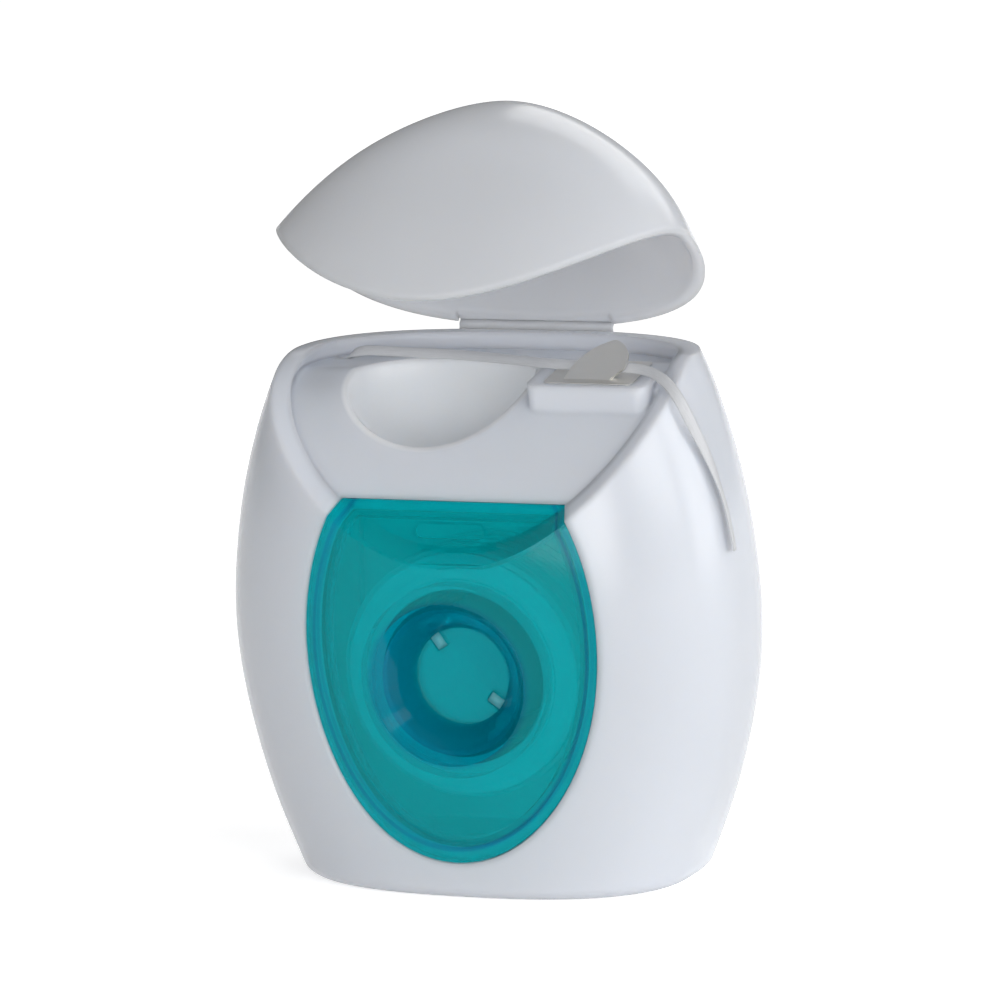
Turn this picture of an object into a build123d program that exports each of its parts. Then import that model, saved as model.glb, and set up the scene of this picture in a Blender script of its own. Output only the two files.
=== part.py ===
from build123d import *
import math
import os

# A flip-top dental floss dispenser: an egg-shaped white case on a flat base, with its lid open.
# X runs across it, -Y is its front, +Z is up, and the origin is the middle of its base.
# All sizes are in millimetres and all angles in degrees.

# Outer form: one smooth egg, which the parting surface divides into housing and lid
BODY_WIDTH = 52.0
BASE_WIDTH = 39.3
FRONT_DEPTH = 14.3  # axis to front, at the belly
BACK_DEPTH = 13.8  # axis to back
BASE_TUCK = 0.4  # how far front and back draw in at the base
BASE_CURVE = 1.75
BELLY_HEIGHT = 24.6
SHOULDER_HEIGHT = 66.0  # where the sides under the rim would meet
SHOULDER_CURVE = 1.97
RIM_HEIGHT = 50.2
RIM_SETBACK = 2.6  # how far the front leans back from belly to rim
LEAN_CURVE = 1.62
CLOSED_HEIGHT = 64.0
CROWN_Y = -1.7  # the highest point of the closed lid
DOME_CURVE = 1.21
DOME_ROUND = 1.96
FRONT_CURVE = 1.98
BACK_CURVE = 2.47
PLAN_CORNER = 2.5  # exponent of the superellipse that each level section follows
CROWN_CORNER = 1.85  # the same at the crown
BASE_ROUND = 1.6
SECTION_POINTS = 24
FAR = 80.0  # half size of the blocks that only cut

# Walls and running clearances
WALL = 1.3
RIM_BAND = 1.9
LID_WALL = 1.1
LID_GAP = 0.3  # between lid edge and housing rim, closed
FIT = 0.1  # window in its seat
RUNNING_FIT = 0.1  # bobbin on its axle

# Parting surface: a cone from the hinge through a bell curve drawn in front of the case
PARTING_DROP = 25.0
PARTING_HALF = 70.0
PARTING_PLANE = 25.0
PARTING_POWER = 3
PARTING_BACK = 6.0  # behind this the rim is level

# Lid hinge, a moulded strap
LID_OPEN = 47.0  # as photographed
STRAP_WIDTH = 15.9
STRAP_THICK = 0.4
HINGE_LIFT = 0.35  # hinge axis above the rim, and lid edge above the axis
PAD_DEEP = 1.1
PAD_FACE = 0.8
PAD_TALL = 3.2

# Deck under the lid: flat at the back, falling to the window in front
DECK_TOP = 48.6
DECK_BACK = 1.0
DECK_REACH = 12.4
DECK_FALL = 16.6
DECK_CURVE = 1.8
DIP_RADIUS = 9.7
DIP_X = -4.2
DIP_Y = -2.4
DIP_Z = 50.6
OUTLET_X = -17.0
OUTLET_Y = 5.4
OUTLET_BORE = 1.5

# Front window, a cut ellipse
WINDOW_HALF_WIDTH = 14.8
WINDOW_HALF_HEIGHT = 21.0
WINDOW_CENTRE = 24.6
WINDOW_TOP = 38.0
WINDOW_THICK = 1.5
WINDOW_SINK = 0.15
SEAT_LEDGE = 1.3
LEDGE_THICK = 1.2
SKIRT_THICK = 0.7
SKIRT_DEEP = 1.3
LATCH_WIDTH = 7.0
LATCH_TALL = 1.4
LATCH_HEIGHT = 35.3
LATCH_PROUD = 0.5
LATCH_ROOT = 0.8

# Hub of the window, and the bobbin that turns on it
HUB_HEIGHT = 21.0
WELL_MOUTH = 7.9
WELL_NECK = 5.9
WELL_FLOOR = 4.7
NECK_DEPTH = 2.4
WELL_DEPTH = 4.2
WELL_WALL = 0.9
NOTCH_RADIUS = 4.0
NOTCH_LONG = 1.6
NOTCH_WIDE = 1.2
NOTCH_ANGLES = (125, -35)
PEG_RADIUS = 4.8  # ribbed post of the housing, whose two tabs stand in the notches
PEG_RIB = 1.4
PEG_DISC = 1.2
AXLE_RADIUS = 8.4
AXLE_WALL = 1.1
COLLAR_RADIUS = 9.3
BOBBIN_FRONT = -9.8
BOBBIN_WIDTH = 12.0
BOBBIN_PLAY = 0.3
CORE_WALL = 0.8
AXLE_OVERLAP = 1.0  # how far the axle passes the bobbin, into the housing's post
POST_CLEARANCE = 0.3
POST_WALL = 1.1

# Floss, a flat tape, drawn as a round strand
FLOSS_WIDE = 0.9
TURNS = 9
TURN_PITCH = 1.22
TURN_THICK = 0.6
TURN_RADIUS = 11.9
PACKAGE_INSET = 0.3
SETTLE = 0.03  # between the plain package and its outer layer
BEND = 0.45  # share of the shorter run that each corner's arc takes

# Steel cutter on its block
PLATE_WIDTH = 8.8
PLATE_DEPTH = 6.7
PLATE_THICK = 0.3
PLATE_X = 11.85
PLATE_Y = -1.35
PLATE_Z = 49.0
PLATE_TILT = 8.5
PLATE_CORNER = 0.5
PLATE_PROUD = 0.05  # plate above the block it lies in
BLOCK_WIDTH = 12.1
BLOCK_DEPTH = 7.9
BLOCK_CORNER = 1.2
BLOCK_TALL = 3.2
BLOCK_X = 0.05  # middle of the block from the middle of the plate
BLOCK_Y = -0.4
SADDLE_WIDTH = 6.5  # from the block to the rim
SADDLE_DEPTH = 5.8
LEG_WIDE = 1.6
LEG_LONG = 1.6
FLAP_X = -0.55
FLAP_Y = -2.15
FLAP_LEAN = 36.0
FLAP_ROOT = (-2.3, 2.05)  # the flap's outline: both ends of its root, its curved back, peak, cheek and heel
FLAP_BACK = (-0.8, 2.3)
FLAP_PEAK = (2.3, 4.2)
FLAP_CHEEK = (3.85, 2.5)
FLAP_HEEL = (3.0, 0.65)
NICK_WIDE = 1.1
NICK_DEEP = 0.8


def half_width(z):
    """Half the width at height z: a power law below the belly, then an ellipse, then the dome."""
    if z < BELLY_HEIGHT:
        below = (BELLY_HEIGHT - z) / BELLY_HEIGHT
        return BODY_WIDTH / 2 - (BODY_WIDTH - BASE_WIDTH) / 2 * below**BASE_CURVE
    shoulder = (min(z, RIM_HEIGHT) - BELLY_HEIGHT) / (SHOULDER_HEIGHT - BELLY_HEIGHT)
    dome = max(z - RIM_HEIGHT, 0) / (CLOSED_HEIGHT - RIM_HEIGHT)
    return BODY_WIDTH / 2 * math.sqrt(1 - shoulder**SHOULDER_CURVE) * (1 - dome**DOME_CURVE) ** (1 / DOME_ROUND)


def front_y(z):
    """Y of the front at height z: drawn in at the base, leaning back to the rim, then the dome."""
    if z < BELLY_HEIGHT:
        return -FRONT_DEPTH + BASE_TUCK * ((BELLY_HEIGHT - z) / BELLY_HEIGHT) ** 3
    lean = (min(z, RIM_HEIGHT) - BELLY_HEIGHT) / (RIM_HEIGHT - BELLY_HEIGHT)
    dome = max(z - RIM_HEIGHT, 0) / (CLOSED_HEIGHT - RIM_HEIGHT)
    wall = -FRONT_DEPTH + RIM_SETBACK * lean**LEAN_CURVE
    return CROWN_Y + (wall - CROWN_Y) * math.sqrt(1 - dome**FRONT_CURVE)


def back_y(z):
    """Y of the back at height z: drawn in at the base, upright to the rim, then the dome."""
    if z < BELLY_HEIGHT:
        return BACK_DEPTH - BASE_TUCK * ((BELLY_HEIGHT - z) / BELLY_HEIGHT) ** 3
    dome = max(z - RIM_HEIGHT, 0) / (CLOSED_HEIGHT - RIM_HEIGHT)
    return CROWN_Y + (BACK_DEPTH - CROWN_Y) * math.sqrt(1 - dome**BACK_CURVE)


def level_section(z, inset):
    """Points of the superellipse at height z, with both half-axes shortened by the inset."""
    across = half_width(z) - inset
    deep = (back_y(z) - front_y(z)) / 2 - inset
    middle = (back_y(z) + front_y(z)) / 2
    dome = max(z - RIM_HEIGHT, 0) / (CLOSED_HEIGHT - RIM_HEIGHT)
    corner = PLAN_CORNER + (CROWN_CORNER - PLAN_CORNER) * dome
    points = []
    for k in range(SECTION_POINTS):
        angle = 2 * math.pi * k / SECTION_POINTS
        c, s = math.cos(angle), math.sin(angle)
        x = across * math.copysign(abs(c) ** (2 / corner), c)
        y = middle + deep * math.copysign(abs(s) ** (2 / corner), s)
        points.append((x, y))
    return points


def egg(inset):
    """The closed case's whole form, with its walls moved in by the inset."""
    crown = CLOSED_HEIGHT - inset
    low = [inset + (BELLY_HEIGHT - inset) * k / 4 for k in range(4)]
    high = [BELLY_HEIGHT + (crown - BELLY_HEIGHT) * math.sin(math.radians(10 * k)) for k in range(9)]
    stretch = (CLOSED_HEIGHT - RIM_HEIGHT) / (crown - RIM_HEIGHT)
    with BuildPart() as form:
        for z in low + high:
            over_rim = max(z - RIM_HEIGHT, 0.0)
            outer_z = min(z, RIM_HEIGHT) + over_rim * stretch
            share = math.sqrt(1 - (over_rim / (crown - RIM_HEIGHT)) ** 2)
            with BuildSketch(Plane.XY.offset(z)):
                with BuildLine():
                    Spline(*level_section(outer_z, inset * share), periodic=True)
                make_face()
        sections = [*form.pending_faces, Vertex(0, CROWN_Y, crown)]
        form.pending_faces.clear()
        form.pending_face_planes.clear()
        loft(sections=sections)
    return form.part


def lid_zone(rise):
    """Everything above the parting surface, moved up by the rise."""
    steps = 10
    rim = RIM_HEIGHT + rise
    bell = []
    for k in range(-steps, steps + 1):
        drop = PARTING_DROP * math.cos(math.pi / 2 * k / steps) ** PARTING_POWER
        bell.append((PARTING_HALF * k / steps, rim - drop))
    with BuildPart() as zone:
        with BuildSketch(Plane.XZ.offset(PARTING_PLANE)):
            with BuildLine():
                Spline(*bell, tangents=[(1, 0), (1, 0)])
                Polyline(bell[-1], (PARTING_HALF, rim + FAR), (-PARTING_HALF, rim + FAR), bell[0])
            make_face()
        mouth = zone.pending_faces[0]
        zone.pending_faces.clear()
        zone.pending_face_planes.clear()
        loft(sections=[mouth, Vertex(0, BACK_DEPTH, rim)])
        with Locations((0, PARTING_BACK, rim)):
            Box(2 * FAR, FAR, 2 * FAR, align=(Align.CENTER, Align.MIN, Align.CENTER), mode=Mode.SUBTRACT)
        with BuildSketch(Plane.XY.offset(rim)):
            Rectangle(2 * FAR, 2 * FAR)
        extrude(amount=FAR)
    return zone.part


def deck_zone(drop):
    """Everything above the deck's surface, with that surface lowered by the drop."""
    foot = DECK_TOP - DECK_FALL
    curve = []
    for k in range(9):
        angle = math.pi / 2 * k / 8
        y = DECK_BACK - (DECK_REACH - drop) * math.cos(angle) ** (2 / DECK_CURVE)
        z = foot + (DECK_FALL - drop) * math.sin(angle) ** (2 / DECK_CURVE)
        curve.append((y, z))
    with BuildPart() as zone:
        with BuildSketch(Plane.YZ):
            with BuildLine():
                Spline(*curve, tangents=[(0, 1), (1, 0)])
                Polyline(curve[-1], (FAR, curve[-1][1]), (FAR, 2 * FAR), (-FAR, 2 * FAR), (-FAR, foot), curve[0])
            make_face()
        extrude(amount=FAR, both=True)
    return zone.part


def window_prism(inset):
    """A bar along Y through the front, whose section is the window's outline moved in."""
    with BuildPart() as prism:
        with BuildSketch(Plane.XZ):
            with Locations((0, WINDOW_CENTRE)):
                Ellipse(WINDOW_HALF_WIDTH - inset, WINDOW_HALF_HEIGHT - inset)
            with Locations((0, WINDOW_TOP - inset)):
                Rectangle(FAR, FAR, align=(Align.CENTER, Align.MIN), mode=Mode.SUBTRACT)
        extrude(amount=PARTING_PLANE)
    return prism.part


def window_surface(depth):
    """What lies behind the window's front, moved in: the case, stepped back for the lid's tongue."""
    step = depth - WINDOW_SINK
    tongue_room = lid_zone(-LID_GAP - step) & deck_zone(step)
    return egg(depth) - tongue_room


def tube(route, width):
    """A strand along straight runs, with an arc at each corner that takes its share of the shorter run."""
    radii = []
    for before, corner, after in zip(route, route[1:], route[2:]):
        a = Vector(*corner) - Vector(*before)
        b = Vector(*after) - Vector(*corner)
        turn = math.radians(a.get_angle(b))
        radii.append(BEND * min(a.length, b.length) / math.tan(turn / 2))
    start = Vector(*route[0])
    with BuildPart() as strand:
        with BuildLine() as path:
            FilletPolyline(*route, radius=radii)
        with BuildSketch(Plane(origin=start, z_dir=Vector(*route[1]) - start)):
            Circle(width / 2)
        sweep(path=path.wires()[0])
    drawn = path.wires()[0].length
    share = strand.part.volume / (math.pi * width**2 / 4 * drawn)
    print("strand", round(drawn, 2), "mm, radii", [round(r, 2) for r in radii], "volume share", round(share, 3))
    return strand.part


outer = egg(0)
hub_axis = Axis((0, 0, HUB_HEIGHT), (0, 1, 0))
hinge_z = RIM_HEIGHT + HINGE_LIFT
hinge_axis = Axis((0, BACK_DEPTH, hinge_z), (1, 0, 0))
plate_normal = Vector(0, 0, 1).rotate(Axis.X, PLATE_TILT)
plate_plane = Plane(origin=(PLATE_X, PLATE_Y, PLATE_Z), x_dir=(1, 0, 0), z_dir=plate_normal)
face_y = front_y(HUB_HEIGHT) + WINDOW_SINK
well_back = face_y + WELL_DEPTH + WELL_WALL
bobbin_back = BOBBIN_FRONT + BOBBIN_WIDTH
core_bore = AXLE_RADIUS + RUNNING_FIT
core_radius = core_bore + CORE_WALL

# Cutter: a sprung steel plate with a cutting flap folded up, a nick in one edge and two legs
flap_root = plate_plane.from_local_coords(Vector(FLAP_X, FLAP_Y, 0))
flap_normal = Vector(0, -1, 0).rotate(Axis.X, -FLAP_LEAN)
flap_plane = Plane(origin=flap_root, x_dir=(1, 0, 0), z_dir=flap_normal)
with BuildPart() as cutter:
    with BuildSketch(plate_plane):
        RectangleRounded(PLATE_WIDTH, PLATE_DEPTH, PLATE_CORNER)
        with BuildLine():
            Polyline((PLATE_WIDTH / 2, NICK_WIDE), (PLATE_WIDTH / 2 - NICK_DEEP, NICK_WIDE / 2),
                     (PLATE_WIDTH / 2, 0), close=True)
        make_face(mode=Mode.SUBTRACT)
    extrude(amount=-PLATE_THICK)
    with BuildSketch(flap_plane):
        with BuildLine():
            ThreePointArc((FLAP_ROOT[0], -PLATE_THICK), FLAP_BACK, FLAP_PEAK)
            ThreePointArc(FLAP_PEAK, FLAP_CHEEK, FLAP_HEEL)
            Polyline(FLAP_HEEL, (FLAP_ROOT[1], -PLATE_THICK), (FLAP_ROOT[0], -PLATE_THICK))
        make_face()
    extrude(amount=-PLATE_THICK)
    with BuildSketch(plate_plane):
        with Locations((-(PLATE_WIDTH - PLATE_THICK) / 2, -LEG_WIDE), ((PLATE_WIDTH - PLATE_THICK) / 2, -LEG_WIDE)):
            Rectangle(PLATE_THICK, LEG_WIDE)
    extrude(amount=-(PLATE_THICK + LEG_LONG))

# Housing: one white moulding with the deck, the finger dip, the window's seat and the cutter block
deck_block = egg(RIM_BAND) - deck_zone(0)
deck_room = egg(RIM_BAND) & deck_zone(0)
case_room = egg(WALL) - deck_zone(WALL)
with BuildPart() as dip_shell:
    with Locations((DIP_X, DIP_Y, DIP_Z)):
        Sphere(DIP_RADIUS + WALL)
case_room = case_room - dip_shell.part
with BuildPart() as saddle:
    with BuildSketch(plate_plane.offset(-PLATE_PROUD)):
        with Locations((PLATE_WIDTH / 2, BLOCK_Y + BLOCK_DEPTH / 2)):
            Rectangle(SADDLE_WIDTH, SADDLE_DEPTH, align=(Align.MIN, Align.MAX))
    extrude(amount=-BLOCK_TALL)
    add(egg(WALL), mode=Mode.INTERSECT)
    add(lid_zone(0), mode=Mode.SUBTRACT)
plate_back = WINDOW_SINK + WINDOW_THICK
ledge_front = window_surface(plate_back + FIT)
ledge_back = window_surface(plate_back + FIT + LEDGE_THICK)
frame_block = (window_surface(WALL / 2) - ledge_back) & window_prism(-WALL)
with BuildPart() as housing:
    add(outer)
    fillet(housing.faces().sort_by(Axis.Z)[0].edges(), BASE_ROUND)
    add(lid_zone(0) - deck_block, mode=Mode.SUBTRACT)
    add(deck_room, mode=Mode.SUBTRACT)
    add(case_room, mode=Mode.SUBTRACT)
    with Locations((DIP_X, DIP_Y, DIP_Z)):
        Sphere(DIP_RADIUS, mode=Mode.SUBTRACT)
    add(frame_block)
    add(window_prism(0) - ledge_front, mode=Mode.SUBTRACT)
    add(window_prism(SEAT_LEDGE), mode=Mode.SUBTRACT)
    with BuildSketch(plate_plane.offset(-PLATE_PROUD)):
        with Locations((BLOCK_X, BLOCK_Y)):
            RectangleRounded(BLOCK_WIDTH, BLOCK_DEPTH, BLOCK_CORNER)
    extrude(amount=-BLOCK_TALL)
    add(saddle.part)
    add(cutter.part, mode=Mode.SUBTRACT)
    with BuildSketch(Plane.XY.offset(DECK_TOP - 2 * WALL)):
        with Locations((OUTLET_X, OUTLET_Y)):
            Circle(OUTLET_BORE / 2)
    extrude(amount=4 * WALL, mode=Mode.SUBTRACT)
    with BuildSketch(Plane.YZ):
        with BuildLine():
            Polyline((BACK_DEPTH - PAD_DEEP, RIM_HEIGHT), (BACK_DEPTH, RIM_HEIGHT),
                     (BACK_DEPTH, RIM_HEIGHT - PAD_FACE), (BACK_DEPTH - PAD_DEEP, RIM_HEIGHT - PAD_TALL), close=True)
        make_face()
    extrude(amount=STRAP_WIDTH / 2, both=True)
    with BuildSketch(Plane.XZ.offset(-(BACK_DEPTH - WALL / 2))):
        with Locations((0, HUB_HEIGHT)):
            Circle(AXLE_RADIUS + POST_CLEARANCE + POST_WALL)
            Circle(AXLE_RADIUS + POST_CLEARANCE, mode=Mode.SUBTRACT)
    extrude(amount=BACK_DEPTH - WALL / 2 - bobbin_back - BOBBIN_PLAY)
    with BuildSketch(Plane.XZ.offset(-(BACK_DEPTH - WALL / 2))):
        with Locations((0, HUB_HEIGHT)):
            Rectangle(2 * PEG_RADIUS - PEG_RIB, PEG_RIB)
            Rectangle(PEG_RIB, 2 * PEG_RADIUS - PEG_RIB)
    extrude(amount=BACK_DEPTH - WALL / 2 - well_back - PEG_DISC / 2)
    with BuildSketch(Plane.XZ.offset(-(well_back + FIT))):
        with Locations((0, HUB_HEIGHT)):
            Circle(PEG_RADIUS)
    extrude(amount=-PEG_DISC)
    with BuildSketch(Plane.XZ.offset(-(well_back + FIT))):
        with Locations((0, HUB_HEIGHT)):
            for angle in NOTCH_ANGLES:
                with PolarLocations(NOTCH_RADIUS, 1, start_angle=angle):
                    Rectangle(NOTCH_LONG - 2 * FIT, NOTCH_WIDE - 2 * FIT)
    extrude(amount=WELL_WALL)

# Lid: a white shell cut by the same parting surface, turned back about the hinge
with BuildPart() as lid:
    add(outer - egg(LID_WALL))
    add(lid_zone(LID_GAP), mode=Mode.INTERSECT)
    with BuildSketch(Plane.YZ):
        with BuildLine():
            Polyline((BACK_DEPTH - PAD_DEEP, hinge_z + HINGE_LIFT), (BACK_DEPTH, hinge_z + HINGE_LIFT),
                     (BACK_DEPTH, hinge_z + HINGE_LIFT + PAD_FACE),
                     (BACK_DEPTH - PAD_DEEP, hinge_z + PAD_TALL), close=True)
        make_face()
    extrude(amount=STRAP_WIDTH / 2, both=True)
    with Locations((0, BACK_DEPTH, RIM_HEIGHT)):
        Box(STRAP_WIDTH + FIT, 4 * WALL, 4 * HINGE_LIFT, mode=Mode.SUBTRACT)
lid_open = lid.part.rotate(hinge_axis, -LID_OPEN)

# Hinge strap: the thin web between the two pads, folded to the photographed angle
lean = math.radians(LID_OPEN)
along = (math.sin(lean) * HINGE_LIFT, math.cos(lean) * HINGE_LIFT)
inward = (-math.cos(lean) * STRAP_THICK, math.sin(lean) * STRAP_THICK)
lid_edge = (BACK_DEPTH + along[0], hinge_z + along[1])
with BuildPart() as hinge_strap:
    with BuildSketch(Plane.YZ):
        with BuildLine():
            Polyline((BACK_DEPTH, RIM_HEIGHT), (BACK_DEPTH, hinge_z), lid_edge,
                     (lid_edge[0] + inward[0], lid_edge[1] + inward[1]),
                     (BACK_DEPTH - STRAP_THICK, hinge_z + STRAP_THICK * math.tan(lean / 2)),
                     (BACK_DEPTH - STRAP_THICK, RIM_HEIGHT), close=True)
        make_face()
    extrude(amount=STRAP_WIDTH / 2, both=True)

# Front window: a teal plate in the case's own curve, with its latch bar, hub well, skirt and axle
window_front = window_surface(WINDOW_SINK)
skirt_outer = window_prism(SEAT_LEDGE + FIT)
skirt_inner = window_prism(SEAT_LEDGE + FIT + SKIRT_THICK)
skirt_band = window_surface(WINDOW_SINK + WINDOW_THICK / 2) - window_surface(plate_back + SKIRT_DEEP)
with BuildPart() as latch:
    with BuildSketch(Plane.XZ):
        with Locations((0, LATCH_HEIGHT)):
            SlotOverall(LATCH_WIDTH, LATCH_TALL)
    extrude(amount=PARTING_PLANE)
    add(deck_zone(LATCH_ROOT) - deck_zone(-LATCH_PROUD), mode=Mode.INTERSECT)
with BuildPart() as hub:
    with BuildSketch(Plane.YZ):
        with BuildLine():
            Polyline((face_y - WALL, HUB_HEIGHT), (face_y - WALL, HUB_HEIGHT + WELL_MOUTH + WELL_WALL),
                     (face_y, HUB_HEIGHT + WELL_MOUTH + WELL_WALL),
                     (face_y + NECK_DEPTH, HUB_HEIGHT + WELL_NECK + WELL_WALL),
                     (well_back, HUB_HEIGHT + WELL_FLOOR + WELL_WALL), (well_back, HUB_HEIGHT), close=True)
        make_face()
    revolve(axis=hub_axis)
    with BuildSketch(Plane.YZ):
        with Locations((face_y + WINDOW_THICK / 2, HUB_HEIGHT + AXLE_RADIUS - AXLE_WALL)):
            Rectangle(bobbin_back + AXLE_OVERLAP - face_y - WINDOW_THICK / 2, AXLE_WALL, align=(Align.MIN, Align.MIN))
            Rectangle(BOBBIN_FRONT - BOBBIN_PLAY - face_y - WINDOW_THICK / 2,
                      COLLAR_RADIUS - AXLE_RADIUS + AXLE_WALL, align=(Align.MIN, Align.MIN))
    revolve(axis=hub_axis)
with BuildPart() as well:
    with BuildSketch(Plane.YZ):
        with BuildLine():
            Polyline((face_y - WALL, HUB_HEIGHT), (face_y - WALL, HUB_HEIGHT + WELL_MOUTH),
                     (face_y, HUB_HEIGHT + WELL_MOUTH), (face_y + NECK_DEPTH, HUB_HEIGHT + WELL_NECK),
                     (face_y + WELL_DEPTH, HUB_HEIGHT + WELL_FLOOR), (face_y + WELL_DEPTH, HUB_HEIGHT), close=True)
        make_face()
    revolve(axis=hub_axis)
    with BuildSketch(Plane.XZ.offset(-(face_y + WELL_DEPTH - FIT))):
        with Locations((0, HUB_HEIGHT)):
            for angle in NOTCH_ANGLES:
                with PolarLocations(NOTCH_RADIUS, 1, start_angle=angle):
                    Rectangle(NOTCH_LONG, NOTCH_WIDE)
    extrude(amount=-2 * WELL_WALL)
with BuildPart() as front_window:
    add((window_front - window_surface(plate_back)) & window_prism(FIT))
    add(skirt_band & (skirt_outer - skirt_inner))
    add(latch.part)
    add(hub.part & window_front)
    add(well.part, mode=Mode.SUBTRACT)

# Bobbin: a plastic core on the axle, the plain package of floss, and its outer layer of turns
with BuildPart() as bobbin_core:
    with BuildSketch(Plane.XZ.offset(-BOBBIN_FRONT)):
        with Locations((0, HUB_HEIGHT)):
            Circle(core_radius)
            Circle(core_bore, mode=Mode.SUBTRACT)
    extrude(amount=-BOBBIN_WIDTH)
with BuildPart() as floss_winding:
    with BuildSketch(Plane.XZ.offset(-(BOBBIN_FRONT + PACKAGE_INSET))):
        with Locations((0, HUB_HEIGHT)):
            Circle(TURN_RADIUS - TURN_THICK / 2 - SETTLE)
            Circle(core_radius, mode=Mode.SUBTRACT)
    extrude(amount=-(BOBBIN_WIDTH - 2 * PACKAGE_INSET))
first_y = BOBBIN_FRONT + BOBBIN_WIDTH / 2 - TURNS * TURN_PITCH / 2
step = TURN_PITCH / 2
crest = math.hypot(TURN_RADIUS, step / 2)
layer_points = []
with BuildPart() as floss_turns:
    with BuildLine() as layer:
        Line((TURN_RADIUS, first_y, HUB_HEIGHT - TURN_THICK), (TURN_RADIUS, first_y, HUB_HEIGHT))
        for k in range(2 * TURNS):
            side = 1 - 2 * (k % 2)
            y = first_y + k * step
            start = (side * TURN_RADIUS, y, HUB_HEIGHT)
            middle = (0, y + step / 2, HUB_HEIGHT + side * crest)
            end = (-side * TURN_RADIUS, y + step, HUB_HEIGHT)
            ThreePointArc(start, middle, end)
            for q in range(24):
                angle = math.pi * q / 24
                across = side * math.cos(angle) * TURN_RADIUS
                drift = y + step / 2 - math.cos(angle) * step / 2
                layer_points.append(Vector(across, drift, HUB_HEIGHT + side * math.sin(angle) * crest))
        last_y = first_y + TURNS * TURN_PITCH
        Line((TURN_RADIUS, last_y, HUB_HEIGHT), (TURN_RADIUS, last_y, HUB_HEIGHT + TURN_THICK))
    with BuildSketch(Plane.XY.offset(HUB_HEIGHT - TURN_THICK)):
        with Locations((TURN_RADIUS, first_y)):
            Circle(TURN_THICK / 2)
    sweep(path=layer.wires()[0])
gaps = [(a - b).length for i, a in enumerate(layer_points) for b in layer_points[i + 24:]]
print("turns", TURNS, "least gap", round(min(gaps) - TURN_THICK, 3), "radius", round(crest, 2))

# Floss lead: up inside the case, from the back of the package to the outlet in the deck
LEAD_ROUTE = [
    (-12.9, -3.0, 21.0), (-13.0, -2.2, 29.0), (-14.0, 0.6, 36.0), (-16.5, 4.6, 41.2), (-17.0, 5.4, 44.6),
    (-17.0, 5.4, 47.2),
]
floss_lead = tube(LEAD_ROUTE, FLOSS_WIDE)

# Floss tail: out of the outlet, across the dip, over the cutter and the rim, and down the side
TAIL_ROUTE = [
    (-17.0, 5.4, 47.2), (-17.0, 5.4, 49.4), (-11.0, 5.8, 49.15), (-5.2, 5.0, 49.2), (1.5, 2.2, 49.35),
    (7.8, -1.2, 49.6), (12.5, -1.6, 49.6), (16.6, -2.2, 49.6), (19.25, -4.0, 49.1), (21.15, -5.4, 47.7),
    (22.4, -5.3, 45.0), (23.65, -4.3, 41.6), (24.6, -3.8, 38.3), (25.25, -3.6, 35.4), (25.65, -3.7, 32.7),
]
floss_tail = tube(TAIL_ROUTE, FLOSS_WIDE)

parts = {
    "housing": housing.part, "hinge_strap": hinge_strap.part, "lid": lid_open, "front_window": front_window.part,
    "bobbin_core": bobbin_core.part, "floss_winding": floss_winding.part, "floss_turns": floss_turns.part,
    "floss_lead": floss_lead, "floss_tail": floss_tail, "cutter": cutter.part,
}
os.makedirs("parts", exist_ok=True)
for name, part in parts.items():
    part.label = name
    export_step(part, f"parts/{name}.step")
    print(name, round(part.volume, 1), "mm3", len(part.solids()), "solid", part.is_valid)
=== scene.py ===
import math

import bpy
import numpy as np
from mathutils import Matrix


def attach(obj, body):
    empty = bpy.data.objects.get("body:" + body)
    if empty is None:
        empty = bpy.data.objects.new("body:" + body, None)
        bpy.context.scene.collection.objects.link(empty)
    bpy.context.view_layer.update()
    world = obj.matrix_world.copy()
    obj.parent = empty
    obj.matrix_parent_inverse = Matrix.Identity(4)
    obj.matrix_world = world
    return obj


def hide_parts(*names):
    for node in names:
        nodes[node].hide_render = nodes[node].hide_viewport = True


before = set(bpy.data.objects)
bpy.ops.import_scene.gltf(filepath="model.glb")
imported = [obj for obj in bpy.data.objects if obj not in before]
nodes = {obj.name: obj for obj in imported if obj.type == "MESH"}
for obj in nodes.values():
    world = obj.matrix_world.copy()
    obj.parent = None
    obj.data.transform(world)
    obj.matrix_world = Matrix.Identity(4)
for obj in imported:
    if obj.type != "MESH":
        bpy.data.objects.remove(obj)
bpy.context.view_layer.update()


# Camera: a long lens a little above the rim, turned to the dispenser's right front and rolled slightly.
AZIMUTH = math.radians(21.46)
ELEVATION = math.radians(11.39)
ROLL = math.radians(2.65)
CAMERA_AT = (0.20706, -0.52485, 0.14964)
LENS_MM = 216.0
SENSOR_MM = 36.0
NEAR_CLIP = 0.01


def camera_axes():
    """The camera's right, up and backward directions: azimuth and elevation first, then the roll."""
    ca, sa = math.cos(AZIMUTH), math.sin(AZIMUTH)
    ce, se = math.cos(ELEVATION), math.sin(ELEVATION)
    level = np.array([ca, sa, 0.0])
    over = np.array([-sa * se, ca * se, ce])
    right = math.cos(ROLL) * level - math.sin(ROLL) * over
    up = math.sin(ROLL) * level + math.cos(ROLL) * over
    return right, up, np.cross(right, up)


def placement(right, up, back, place):
    """The matrix that gives an object these three axes and this place."""
    columns = (right, up, back, place)
    return Matrix([[*(float(c[i]) for c in columns)] for i in range(3)] + [[0, 0, 0, 1]])


camera = bpy.data.objects.new("camera", bpy.data.cameras.new("camera"))
camera.data.lens = LENS_MM
camera.data.sensor_width = SENSOR_MM
camera.data.clip_start = NEAR_CLIP
camera.matrix_world = placement(*camera_axes(), CAMERA_AT)
bpy.context.scene.collection.objects.link(camera)
bpy.context.scene.camera = camera
bpy.context.scene.view_settings.view_transform = "Standard"


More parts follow.
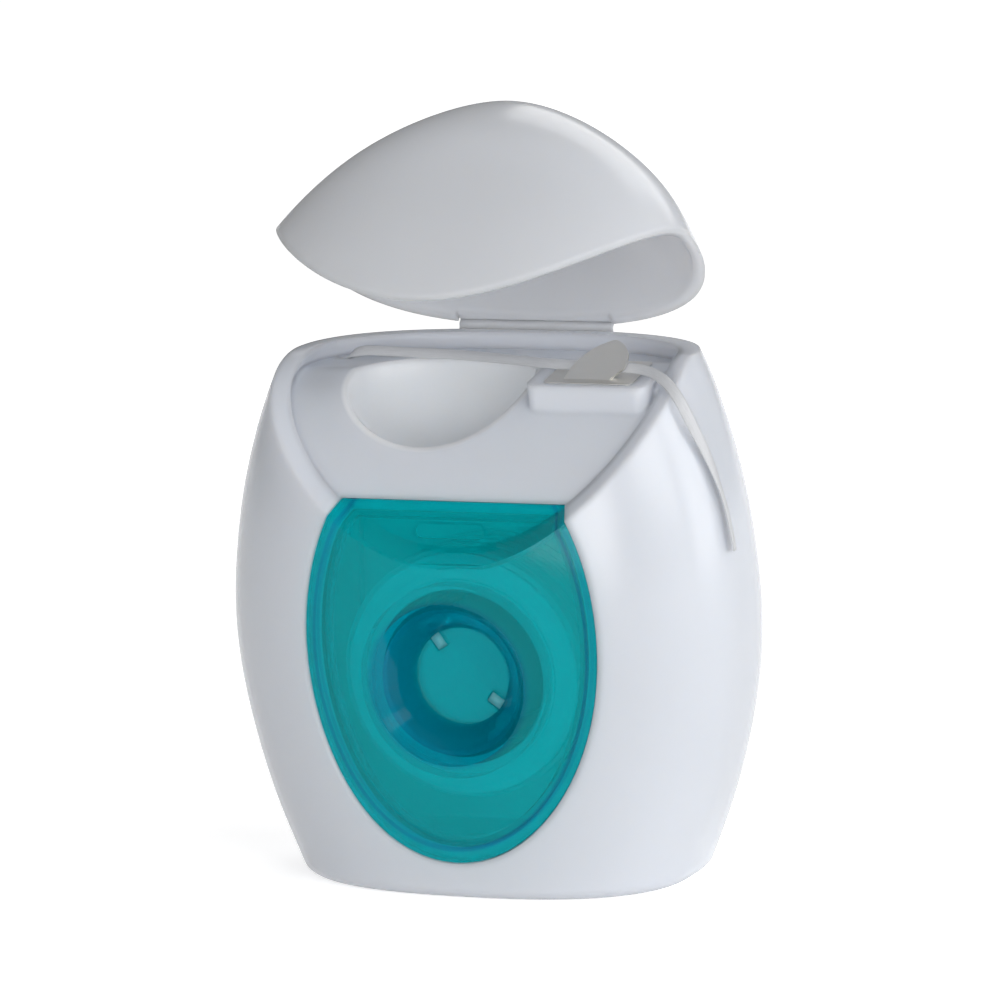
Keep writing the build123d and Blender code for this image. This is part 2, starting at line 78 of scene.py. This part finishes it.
# Floss tail: the flat waxed tape that comes up out of the deck's outlet, passes under the cutter's flap
# and hangs over the rim to its torn end. It is a thin ribbon carried along a smooth line.
TAPE_WIDE = 0.0009
TAPE_THICK = 0.00016
TAIL_WIDEN = 1.2  # drawn wider, to make up for its turning away from the view
TAIL_ROUTE = [
    (-0.017, 0.0054, 0.0472), (-0.017, 0.0054, 0.0494), (-0.011, 0.0058, 0.04915),
    (-0.0052, 0.005, 0.0492), (0.0015, 0.0022, 0.04935), (0.0078, -0.0012, 0.0496),
    (0.0125, -0.0016, 0.0496), (0.0166, -0.0022, 0.0496), (0.01925, -0.004, 0.0491),
    (0.02115, -0.0054, 0.0477), (0.0224, -0.0053, 0.045), (0.02365, -0.0043, 0.0416),
    (0.0246, -0.0038, 0.0383), (0.02525, -0.0036, 0.0354), (0.02565, -0.0037, 0.0327),
]
LEAD_ROUTE = [
    (-0.0129, -0.003, 0.021), (-0.013, -0.0022, 0.029), (-0.014, 0.0006, 0.036),
    (-0.0165, 0.0046, 0.0412), (-0.017, 0.0054, 0.0446), (-0.017, 0.0054, 0.0472),
]


def smooth_line(name, route):
    """Points along a NURBS spline of order 3 whose control points are the route, ends included."""
    curve = bpy.data.curves.new(name, "CURVE")
    curve.dimensions = "3D"
    curve.resolution_u = 10
    spline = curve.splines.new("NURBS")
    spline.points.add(len(route) - 1)
    for point, place in zip(spline.points, route):
        point.co = (*place, 1.0)
    spline.order_u = 3
    spline.use_endpoint_u = True
    carrier = bpy.data.objects.new(name, curve)
    bpy.context.scene.collection.objects.link(carrier)
    mesh = bpy.data.meshes.new_from_object(carrier)
    points = np.array([v.co[:] for v in mesh.vertices])
    bpy.data.objects.remove(carrier)
    bpy.data.meshes.remove(mesh)
    return points


def grid_mesh(name, grid, closed_across=False, uv_scale=(1.0, 1.0)):
    """A mesh from a grid of points: rows run along the piece and columns across it, one quad to a cell."""
    rows, columns, _ = grid.shape
    last = columns if closed_across else columns - 1
    r, c = np.meshgrid(np.arange(rows - 1), np.arange(last), indexing="ij")
    n = (c + 1) % columns
    quads = np.stack([r * columns + c, r * columns + n, (r + 1) * columns + n, (r + 1) * columns + c], -1)
    mesh = bpy.data.meshes.new(name)
    mesh.from_pydata(grid.reshape(-1, 3).tolist(), [], quads.reshape(-1, 4).tolist())
    corner = np.stack([np.stack([r, c], -1), np.stack([r, c + 1], -1), np.stack([r + 1, c + 1], -1),
                       np.stack([r + 1, c], -1)], 2)
    uv = corner.reshape(-1, 2) * np.array([uv_scale[0] / (rows - 1), uv_scale[1] / last])
    mesh.uv_layers.new(name="UVMap").data.foreach_set("uv", uv.astype(np.float32).ravel())
    mesh.polygons.foreach_set("use_smooth", np.ones(len(mesh.polygons), dtype=bool))
    mesh.update()
    piece = bpy.data.objects.new(name, mesh)
    bpy.context.scene.collection.objects.link(piece)
    return piece


def ribbon(name, line, facing, wide, thick):
    """A flat tape along a line: a rounded oblong of eight points, laid across the line and the facing."""
    ahead = np.gradient(line, axis=0)
    ahead /= np.linalg.norm(ahead, axis=1, keepdims=True)
    face = facing - (facing * ahead).sum(1, keepdims=True) * ahead
    face /= np.linalg.norm(face, axis=1, keepdims=True)
    side = np.cross(ahead, face)
    across = np.array([-0.5, -0.42, 0, 0.42, 0.5, 0.42, 0, -0.42]) * wide
    over = np.array([0, 0.5, 0.5, 0.5, 0, -0.5, -0.5, -0.5]) * thick
    grid = line[:, None] + side[:, None] * across[None, :, None] + face[:, None] * over[None, :, None]
    ends = [grid[:1].mean(1, keepdims=True).repeat(8, 1), grid[-1:].mean(1, keepdims=True).repeat(8, 1)]
    length = np.linalg.norm(np.diff(line, axis=0), axis=1).sum()
    return grid_mesh(name, np.concatenate([ends[0], grid, ends[1]]), True, (length / wide, 2.0))


# The way the tape faces on the deck, and what is added over the rim, in the hanging twist and in the bore.
# Each addition grows from none to all of itself over a span that starts at the given x or z.
DECK_FACING = np.array([0.1, -0.8, 0.6])
RIM_TURN, RIM_X, RIM_SPAN = np.array([0.8, -0.7, 0.0]), 0.018, 0.003
TWIST_TURN, TWIST_Z, TWIST_SPAN = np.array([0.6, 1.7, -0.6]), 0.0455, 0.007
BORE_TURN, BORE_X, BORE_SPAN = np.array([-0.9, 0.8, 0.0]), -0.0155, 0.001
LEAD_FACING = [-1.0, 0.3, 0.0]

tail_line = smooth_line("floss_line", TAIL_ROUTE)
over_rim = np.clip((tail_line[:, :1] - RIM_X) / RIM_SPAN, 0, 1)
twisted = np.clip((TWIST_Z - tail_line[:, 2:]) / TWIST_SPAN, 0, 1)
in_bore = np.clip((BORE_X - tail_line[:, :1]) / BORE_SPAN, 0, 1)
tail_facing = DECK_FACING + over_rim * RIM_TURN + twisted * TWIST_TURN + in_bore * BORE_TURN
floss_tail = ribbon("floss_tape", tail_line, tail_facing, TAPE_WIDE * TAIL_WIDEN, TAPE_THICK)
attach(floss_tail, "case")
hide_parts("floss_tail")

lead_line = smooth_line("lead_line", LEAD_ROUTE)
lead_facing = np.tile(LEAD_FACING, (len(lead_line), 1))
floss_lead = ribbon("floss_lead_tape", lead_line, lead_facing, TAPE_WIDE, TAPE_THICK)
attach(floss_lead, "case")
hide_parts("floss_lead")


# Floss package: the tape wound to and fro over the bobbin's core. A ribbon follows a helix whose turns
# travel forward and back across the width, over a plain body that closes the gaps.
HUB = np.array([0.0, 0.021])
PACKAGE_FRONT = -0.0095
PACKAGE_BACK = 0.0019
PACKAGE_RADIUS = 0.01157
CORE_RADIUS = 0.0093
WOUND_TURNS = 46
TRAVERSES = 7
TURN_STEPS = 40
RIPPLE = 0.00006  # height of the package's end layers
TURN_SOFTNESS = 0.985  # below one, it rounds the zigzag where it turns back
EDGE_MARGIN = TAPE_WIDE * 0.55
LOWEST_TURN = 0.00008  # the wound tape above the plain body: its first turn, and what the last one adds
TURN_GROWTH = 0.0004
WOUND_WIDE = TAPE_WIDE * 0.8
WOUND_THICK = TAPE_THICK * 0.6


def package_body():
    """A turned ring: inner bore, two flat ends a little dished by the layers, and a round outside."""
    step = np.linspace(0, 1, 9)
    outwards = CORE_RADIUS + (PACKAGE_RADIUS - CORE_RADIUS) * step
    inwards = PACKAGE_RADIUS + (CORE_RADIUS - PACKAGE_RADIUS) * step
    radius = np.concatenate([np.full(2, CORE_RADIUS), outwards, np.full(2, PACKAGE_RADIUS), inwards])
    ripple = RIPPLE * np.cos(step * 6 * np.pi)
    y = np.concatenate([[PACKAGE_BACK, PACKAGE_FRONT], PACKAGE_FRONT + ripple, [PACKAGE_FRONT, PACKAGE_BACK],
                        PACKAGE_BACK + ripple])
    angle = np.linspace(0, 2 * np.pi, 97)
    x = radius[None] * np.cos(angle)[:, None]
    z = radius[None] * np.sin(angle)[:, None]
    return np.stack([x + HUB[0], np.broadcast_to(y, x.shape), z + HUB[1]], -1)


def wound_line():
    """A helix that turns steadily while a rounded zigzag carries it across the width and back."""
    t = np.linspace(0, 1, WOUND_TURNS * TURN_STEPS + 1)
    swing = np.sin(t * TRAVERSES * np.pi - np.pi / 2)
    zigzag = np.arcsin(TURN_SOFTNESS * swing) / math.asin(TURN_SOFTNESS)
    y = (PACKAGE_FRONT + PACKAGE_BACK) / 2 + zigzag * ((PACKAGE_BACK - PACKAGE_FRONT) / 2 - EDGE_MARGIN)
    radius = PACKAGE_RADIUS + LOWEST_TURN + TURN_GROWTH * t
    angle = 2 * np.pi * WOUND_TURNS * t
    return np.stack([radius * np.cos(angle) + HUB[0], y, radius * np.sin(angle) + HUB[1]], -1), angle


package = grid_mesh("floss_package", package_body(), False, (40.0, 1.0))
winding_path, winding_angle = wound_line()
outward = np.stack([np.cos(winding_angle), np.zeros_like(winding_angle), np.sin(winding_angle)], -1)
wound_tape = ribbon("floss_wound_tape", winding_path, outward, WOUND_WIDE, WOUND_THICK)
for piece in (package, wound_tape):
    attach(piece, "bobbin")
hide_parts("floss_winding")
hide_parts("floss_turns")


# Floss finish: fine parallel filaments along the tape under a thin coat of wax, off-white.
FLOSS_DARK = (0.50, 0.51, 0.53)
FLOSS_LIGHT = (0.72, 0.73, 0.75)
FILAMENT_STRETCH = (0.25, 14.0, 1.0)


def new_material(name):
    """A node material with its Principled shader at hand."""
    material = bpy.data.materials.new(name)
    material.use_nodes = True
    return material, material.node_tree, material.node_tree.nodes["Principled BSDF"]


def join(tree, source, target):
    """Links one socket to another."""
    tree.links.new(source, target)


def floss_material():
    """Noise stretched along the tape gives filaments, as colour and as relief."""
    material, tree, shader = new_material("floss_tape")
    place = tree.nodes.new("ShaderNodeUVMap")
    place.uv_map = "UVMap"
    stretch = tree.nodes.new("ShaderNodeMapping")
    stretch.inputs["Scale"].default_value = FILAMENT_STRETCH
    fibres = tree.nodes.new("ShaderNodeTexNoise")
    fibres.inputs["Scale"].default_value = 3.0
    fibres.inputs["Detail"].default_value = 4.0
    tone = tree.nodes.new("ShaderNodeMix")
    tone.data_type = "RGBA"
    tone.inputs["A"].default_value = (*FLOSS_DARK, 1)
    tone.inputs["B"].default_value = (*FLOSS_LIGHT, 1)
    relief = tree.nodes.new("ShaderNodeBump")
    relief.inputs["Strength"].default_value = 0.35
    relief.inputs["Distance"].default_value = 0.00008
    join(tree, place.outputs["UV"], stretch.inputs["Vector"])
    join(tree, stretch.outputs["Vector"], fibres.inputs["Vector"])
    join(tree, fibres.outputs["Fac"], tone.inputs["Factor"])
    join(tree, tone.outputs["Result"], shader.inputs["Base Color"])
    join(tree, fibres.outputs["Fac"], relief.inputs["Height"])
    join(tree, relief.outputs["Normal"], shader.inputs["Normal"])
    shader.inputs["Roughness"].default_value = 0.42
    shader.inputs["Sheen Weight"].default_value = 0.2
    return material


floss_finish = floss_material()
for piece in (floss_tail, floss_lead, package, wound_tape):
    piece.data.materials.append(floss_finish)


# Moulded surface: what every injection moulding shows, a faint orange-peel relief and slow changes of tone.
PEEL_SCALE = 900
TONE_SCALE = 60
PEEL_DEPTH = 0.000005
GLOSS_SPREAD = 0.03  # how far the roughness strays to either side


def moulded_group():
    """Fine noise for the relief, and coarse noise for the tone and the gloss."""
    group = bpy.data.node_groups.new("moulded surface", "ShaderNodeTree")
    for name, scale in (("Peel Scale", PEEL_SCALE), ("Tone Scale", TONE_SCALE)):
        socket = group.interface.new_socket(name, in_out="INPUT", socket_type="NodeSocketFloat")
        socket.default_value = scale
    for name in ("Height", "Tone"):
        group.interface.new_socket(name, in_out="OUTPUT", socket_type="NodeSocketFloat")
    entry = group.nodes.new("NodeGroupInput")
    exit_node = group.nodes.new("NodeGroupOutput")
    place = group.nodes.new("ShaderNodeTexCoord")
    peel = group.nodes.new("ShaderNodeTexNoise")
    peel.inputs["Detail"].default_value = 3.0
    slow = group.nodes.new("ShaderNodeTexNoise")
    slow.inputs["Detail"].default_value = 1.0
    for noise, socket in ((peel, "Peel Scale"), (slow, "Tone Scale")):
        join(group, place.outputs["Object"], noise.inputs["Vector"])
        join(group, entry.outputs[socket], noise.inputs["Scale"])
    join(group, peel.outputs["Fac"], exit_node.inputs["Height"])
    join(group, slow.outputs["Fac"], exit_node.inputs["Tone"])
    return group


moulded = moulded_group()


def moulded_material(name, dark, light, roughness, peel_depth, edge_round):
    """A plastic: tone and roughness vary slowly, relief is fine, and edges read as slightly rounded."""
    material, tree, shader = new_material(name)
    surface = tree.nodes.new("ShaderNodeGroup")
    surface.node_tree = moulded
    tone = tree.nodes.new("ShaderNodeMix")
    tone.data_type = "RGBA"
    tone.inputs["A"].default_value = (*dark, 1)
    tone.inputs["B"].default_value = (*light, 1)
    gloss = tree.nodes.new("ShaderNodeMapRange")
    gloss.inputs["To Min"].default_value = roughness - GLOSS_SPREAD
    gloss.inputs["To Max"].default_value = roughness + GLOSS_SPREAD
    relief = tree.nodes.new("ShaderNodeBump")
    relief.inputs["Strength"].default_value = 0.25
    relief.inputs["Distance"].default_value = peel_depth
    join(tree, surface.outputs["Tone"], tone.inputs["Factor"])
    join(tree, tone.outputs["Result"], shader.inputs["Base Color"])
    join(tree, surface.outputs["Tone"], gloss.inputs["Value"])
    join(tree, gloss.outputs["Result"], shader.inputs["Roughness"])
    join(tree, surface.outputs["Height"], relief.inputs["Height"])
    if edge_round:
        edge = tree.nodes.new("ShaderNodeBevel")
        edge.samples = 4
        edge.inputs["Radius"].default_value = edge_round
        join(tree, edge.outputs["Normal"], relief.inputs["Normal"])
    join(tree, relief.outputs["Normal"], shader.inputs["Normal"])
    return material, shader


def dress(names, material):
    """Gives CAD nodes one finish."""
    for name in names:
        data = nodes[name].data
        data.materials.clear()
        data.materials.append(material)


# Masks on the two mouldings, from places in the object itself.
def distance_mask(tree, centre, scale, inner, outer, blur):
    """One between two distances from a centre, zero elsewhere, after the place is scaled axis by axis."""
    place = tree.nodes.new("ShaderNodeTexCoord")
    scaled = tree.nodes.new("ShaderNodeMapping")
    scaled.inputs["Location"].default_value = [-c * k for c, k in zip(centre, scale)]
    scaled.inputs["Scale"].default_value = scale
    distance = tree.nodes.new("ShaderNodeVectorMath")
    distance.operation = "LENGTH"
    both = tree.nodes.new("ShaderNodeMath")
    both.operation = "MULTIPLY"
    join(tree, place.outputs["Object"], scaled.inputs["Vector"])
    join(tree, scaled.outputs["Vector"], distance.inputs[0])
    for k, (start, end) in enumerate(((inner - blur, inner), (outer + blur, outer))):
        side = tree.nodes.new("ShaderNodeMapRange")
        side.inputs["From Min"].default_value = start
        side.inputs["From Max"].default_value = end
        join(tree, distance.outputs["Value"], side.inputs["Value"])
        join(tree, side.outputs["Result"], both.inputs[k])
    return both.outputs[0]


def tint(tree, shader, mask, colour):
    """Mixes a colour into the shader's base colour where the mask is one."""
    mix = tree.nodes.new("ShaderNodeMix")
    mix.data_type = "RGBA"
    mix.inputs["B"].default_value = (*colour, 1)
    join(tree, mask, mix.inputs["Factor"])
    join(tree, shader.inputs["Base Color"].links[0].from_socket, mix.inputs["A"])
    join(tree, mix.outputs["Result"], shader.inputs["Base Color"])


# Case, lid and hinge strap: one moulding of white polypropylene, glossy, bent at the strap. The case's tone,
# cooler than the lid's, is painted light and shade: a painted teal cast from the window and painted shade
# from inside the case. Its tabs in the hub take the window's teal, and the dip's thin shell gets a painted
# glow.
# The case's cooler tone is painted: the window's teal cast and the shade inside the case, put into its
# colour.
CASE_SHADED_DARK, CASE_SHADED_LIGHT = (0.675, 0.70, 0.755), (0.715, 0.74, 0.795)
LID_DARK, LID_LIGHT = (0.685, 0.705, 0.745), (0.725, 0.745, 0.785)
WHITE_ROUGHNESS = 0.2
WHITE_EDGE = 0.001
MASK_CORE = 0.0001  # where a mask of a whole ball starts
TABS_CENTRE, TABS_RADIUS, TABS_BLUR = (0.0, -0.0095, HUB[1]), 0.0052, 0.0001
TABS_TEAL = (0.10, 0.50, 0.56)
# Painted glow: the dip is painted paler, as if light came through its thin shell.
DIP_GLOW_CENTRE, DIP_GLOW_RADIUS, DIP_GLOW_BLUR = (-0.0042, -0.0024, 0.0506), 0.0099, 0.0004
DIP_PAINTED_GLOW = (0.90, 0.91, 0.93)


def white_material(name, dark, light):
    """White plastic through which a little light passes."""
    material, shader = moulded_material(name, dark, light, WHITE_ROUGHNESS, PEEL_DEPTH, WHITE_EDGE)
    shader.inputs["Subsurface Weight"].default_value = 0.6
    shader.inputs["Subsurface Radius"].default_value = (1.0, 0.9, 0.8)
    shader.inputs["Subsurface Scale"].default_value = 0.004
    return material, shader


case_white, case_shader = white_material("case_white", CASE_SHADED_DARK, CASE_SHADED_LIGHT)
# The tabs take the window's teal; the dip gets its painted glow of light through the thin shell.
for centre, outer, blur, colour in ((TABS_CENTRE, TABS_RADIUS, TABS_BLUR, TABS_TEAL),
                                    (DIP_GLOW_CENTRE, DIP_GLOW_RADIUS, DIP_GLOW_BLUR, DIP_PAINTED_GLOW)):
    ball = distance_mask(case_white.node_tree, centre, (1.0, 1.0, 1.0), MASK_CORE, outer, blur)
    tint(case_white.node_tree, case_shader, ball, colour)
dress(["housing"], case_white)
lid_white, _ = white_material("lid_white", LID_DARK, LID_LIGHT)
dress(["lid", "hinge_strap"], lid_white)


# Front window: clear teal polystyrene, glossy and see-through, so that bobbin and ribs show behind it. The
# hub's conical wall and the rib along the border are looked through along their length: deeper and bluer.
TEAL_DARK, TEAL_LIGHT = (0.0, 0.72, 0.77), (0.0, 0.76, 0.81)
TEAL_ROUGHNESS = 0.07
WINDOW_CENTRE = (0.0, 0.0, 0.0246)
PER_HALF_SIZE = (1 / 0.0148, 0.0, 1 / 0.021)  # makes the window's ellipse a circle of radius one
BORDER_TEAL, CONE_TEAL = (0.0, 0.44, 0.66), (0.0, 0.50, 0.68)


def teal_material():
    """The plastic's tone, deeper where the distance from the hub's axis or the ellipse is the wall's."""
    material, shader = moulded_material("teal_plastic", TEAL_DARK, TEAL_LIGHT, TEAL_ROUGHNESS, PEEL_DEPTH, 0)
    tree = material.node_tree
    border = distance_mask(tree, WINDOW_CENTRE, PER_HALF_SIZE, inner=0.925, outer=0.94, blur=0.007)
    tint(tree, shader, border, BORDER_TEAL)
    cone = distance_mask(tree, (0.0, 0.0, HUB[1]), (1.0, 0.0, 1.0), inner=0.0050, outer=0.0078, blur=0.0005)
    tint(tree, shader, cone, CONE_TEAL)
    shader.inputs["Transmission Weight"].default_value = 0.75
    shader.inputs["IOR"].default_value = 1.22
    shader.inputs["Specular IOR Level"].default_value = 0.1
    return material


dress(["front_window"], teal_material())


# Bobbin core: natural polypropylene, dull.
CORE_DARK, CORE_LIGHT = (0.62, 0.63, 0.64), (0.68, 0.69, 0.70)
CORE_ROUGHNESS = 0.45
core_plastic, _ = moulded_material("core_plastic", CORE_DARK, CORE_LIGHT, CORE_ROUGHNESS, 2 * PEEL_DEPTH, 0)
dress(["bobbin_core"], core_plastic)


# Cutter: spring steel strip, stamped and folded, with the roll's fine lines along it.
STEEL_TONE = (0.78, 0.77, 0.74)
STEEL_ROUGHNESS = (0.30, 0.50)
ROLL_STRETCH = (400, 9000, 2000)


def steel_material():
    """Noise stretched across the strip for the rolling lines, in roughness and relief."""
    material, tree, shader = new_material("cutter_steel")
    place = tree.nodes.new("ShaderNodeTexCoord")
    stretch = tree.nodes.new("ShaderNodeMapping")
    stretch.inputs["Scale"].default_value = ROLL_STRETCH
    lines = tree.nodes.new("ShaderNodeTexNoise")
    lines.inputs["Scale"].default_value = 1.0
    lines.inputs["Detail"].default_value = 4.0
    gloss = tree.nodes.new("ShaderNodeMapRange")
    gloss.inputs["To Min"].default_value, gloss.inputs["To Max"].default_value = STEEL_ROUGHNESS
    relief = tree.nodes.new("ShaderNodeBump")
    relief.inputs["Strength"].default_value = 0.2
    relief.inputs["Distance"].default_value = 0.00001
    join(tree, place.outputs["Object"], stretch.inputs["Vector"])
    join(tree, stretch.outputs["Vector"], lines.inputs["Vector"])
    join(tree, lines.outputs["Fac"], gloss.inputs["Value"])
    join(tree, gloss.outputs["Result"], shader.inputs["Roughness"])
    join(tree, lines.outputs["Fac"], relief.inputs["Height"])
    join(tree, relief.outputs["Normal"], shader.inputs["Normal"])
    shader.inputs["Base Color"].default_value = (*STEEL_TONE, 1)
    shader.inputs["Metallic"].default_value = 1.0
    return material


dress(["cutter"], steel_material())


# Floor: a white sheet. What the camera and the reflections see of it is white, and a shadow stays on it.
FLOOR_SIZE = 4.0
STAGE_WHITE = 0.62


def stage_material():
    """White paper, with its own light added for camera, glossy and transmission rays."""
    material, tree, shader = new_material("stage_white")
    shader.inputs["Base Color"].default_value = (0.9, 0.9, 0.9, 1)
    shader.inputs["Roughness"].default_value = 0.9
    shader.inputs["Emission Color"].default_value = (1, 1, 1, 1)
    path = tree.nodes.new("ShaderNodeLightPath")
    seen = tree.nodes.new("ShaderNodeMath")
    seen.operation = "MAXIMUM"
    seen_too = tree.nodes.new("ShaderNodeMath")
    seen_too.operation = "MAXIMUM"
    level = tree.nodes.new("ShaderNodeMath")
    level.operation = "MULTIPLY"
    level.inputs[1].default_value = STAGE_WHITE
    join(tree, path.outputs["Is Camera Ray"], seen.inputs[0])
    join(tree, path.outputs["Is Glossy Ray"], seen.inputs[1])
    join(tree, seen.outputs[0], seen_too.inputs[0])
    join(tree, path.outputs["Is Transmission Ray"], seen_too.inputs[1])
    join(tree, seen_too.outputs[0], level.inputs[0])
    join(tree, level.outputs[0], shader.inputs["Emission Strength"])
    return material


half = FLOOR_SIZE / 2
floor_grid = np.array([[[-half, -half, 0.0], [half, -half, 0.0]], [[-half, half, 0.0], [half, half, 0.0]]])
floor = grid_mesh("floor", floor_grid.transpose(1, 0, 2))
floor.data.materials.append(stage_material())


# World: an even white surround. Light on the object is less than what the camera sees of it.
AMBIENT = 0.23
world = bpy.data.worlds.new("surround")
world.use_nodes = True
bpy.context.scene.world = world
surround = world.node_tree
background = surround.nodes["Background"]
background.inputs["Color"].default_value = (1, 1, 1, 1)
world_path = surround.nodes.new("ShaderNodeLightPath")
world_level = surround.nodes.new("ShaderNodeMapRange")
world_level.inputs["To Min"].default_value = AMBIENT
world_level.inputs["To Max"].default_value = 1.0
join(surround, world_path.outputs["Is Camera Ray"], world_level.inputs["Value"])
join(surround, world_level.outputs["Result"], background.inputs["Strength"])


# Lamps: soft boxes at the right front, at the right, low at the right, low in front where it lights the lid's
# hollow side, and one behind. Each has its place, its power and its colour.
LAMP_SIZE = 0.6
LAMP_AIM = np.array([0.0, 0.0, 0.035])
WHITE_LIGHT = (1.0, 1.0, 1.0)
LAMPS = [
    ("key", (0.75, -0.55, 0.45), 2.9, WHITE_LIGHT),
    ("side", (1.0, 0.1, 0.3), 3.9, (0.97, 0.98, 1.0)),
    ("low side", (0.9, -0.45, 0.08), 0.9, WHITE_LIGHT),
    ("front", (0.1, -1.0, 0.06), 5.8, WHITE_LIGHT),
    ("back", (0.0, 0.8, 0.6), 1.8, WHITE_LIGHT),
]


def soft_box(name, place, power, colour):
    """A square lamp at a place, turned to the middle of the dispenser."""
    lamp = bpy.data.lights.new(name, "AREA")
    lamp.size = LAMP_SIZE
    lamp.energy = power
    lamp.color = colour
    box = bpy.data.objects.new(name, lamp)
    aim = LAMP_AIM - np.array(place)
    back = -aim / np.linalg.norm(aim)
    right = np.cross([0.0, 0.0, 1.0], back)
    right /= np.linalg.norm(right)
    box.matrix_world = placement(right, np.cross(back, right), back, place)
    bpy.context.scene.collection.objects.link(box)


for lamp_row in LAMPS:
    soft_box(*lamp_row)
